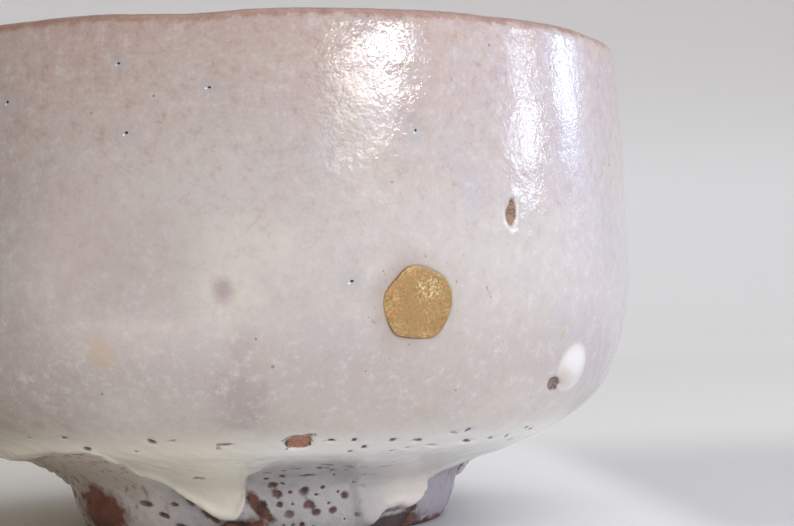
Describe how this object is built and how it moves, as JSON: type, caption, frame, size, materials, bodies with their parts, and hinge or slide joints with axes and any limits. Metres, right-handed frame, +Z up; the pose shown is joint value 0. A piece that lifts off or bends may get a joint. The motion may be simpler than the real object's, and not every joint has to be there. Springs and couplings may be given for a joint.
{
  "type": "tea bowl",
  "caption": "Hand-thrown tea bowl with thick glaze running over a small foot ring, and a gold-filled repair set in its wall.",
  "frame": {"origin": "on the table, below the middle of the bowl's outline", "axes": "+Z up, -Y towards the front, where the gold repair is, and +X to the right of someone who faces the front"},
  "size_m": [0.14, 0.14, 0.0854],
  "materials": {
    "glaze": "semi-gloss milky glaze with pinkish, cream and lavender clouds, pinholes, and brown clay showing in its pits and on the foot",
    "gold": "burnished gold powder, finely grained and nearly matt"
  },
  "bodies": {
    "root": {"bowl": "glaze", "gold_repair": "gold"}
  },
  "joints": []
}
